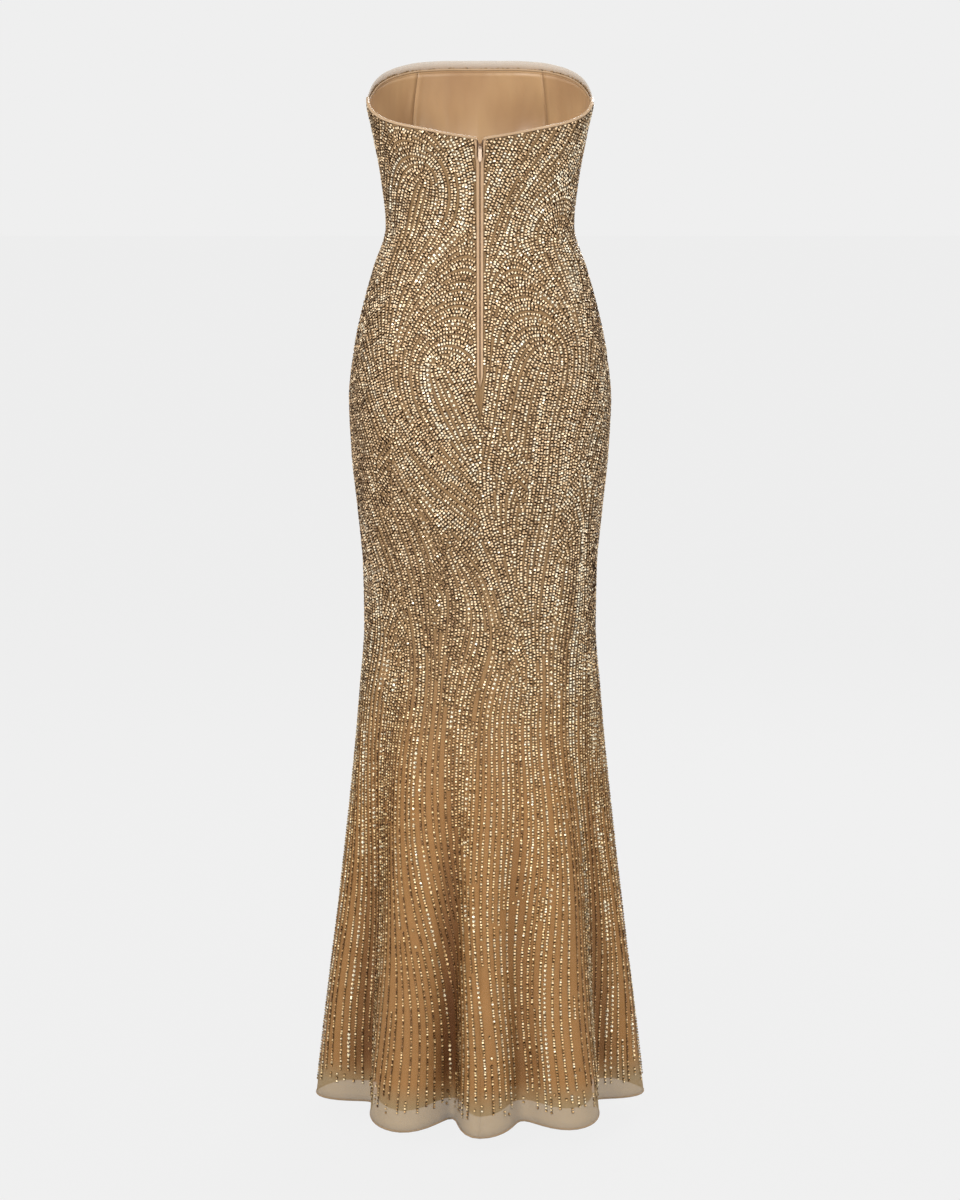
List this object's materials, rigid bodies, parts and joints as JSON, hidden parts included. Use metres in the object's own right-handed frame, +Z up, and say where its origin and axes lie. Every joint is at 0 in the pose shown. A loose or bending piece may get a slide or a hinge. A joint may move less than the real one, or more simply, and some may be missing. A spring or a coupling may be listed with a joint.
{
  "type": "beaded column gown",
  "caption": "Strapless floor-length beaded gown that flares below the knee, with a plain lining and a centre-back zip.",
  "frame": {"origin": "middle of the bodice at the height of the underarms, where the wearer's chest holds the gown up", "axes": "+Z up along the wearer, +Y the way the wearer faces, +X the wearer's right; the zip is at the back, on the -Y side"},
  "size_m": [0.4437, 0.4093, 1.3739],
  "materials": {
    "beaded_tulle": "sheer tan tulle covered in small gold beads",
    "lining_cloth": "smooth tan satin",
    "zip_metal": "pale gold lacquered zinc"
  },
  "bodies": {
    "gown": {"shell_front": "beaded_tulle", "shell_back_left": "beaded_tulle", "shell_back_right": "beaded_tulle", "lining_front_centre": "lining_cloth", "lining_front_left": "lining_cloth", "lining_front_right": "lining_cloth", "lining_back_left": "lining_cloth", "lining_back_right": "lining_cloth", "top_binding_front": "lining_cloth", "top_binding_back_left": "lining_cloth", "top_binding_back_right": "lining_cloth", "zip_tape_left": "lining_cloth", "zip_tape_right": "lining_cloth", "zip_slider": "zip_metal"},
    "zip_pull": {"zip_pull": "zip_metal"}
  },
  "joints": [
    {"name": "zip_pull_swing", "type": "hinge", "parent": "gown", "child": "zip_pull", "pos_m": [0, -0.09601, -0.05752], "axis": [-1, 0, 0], "range_deg": [-15, 165]}
  ]
}
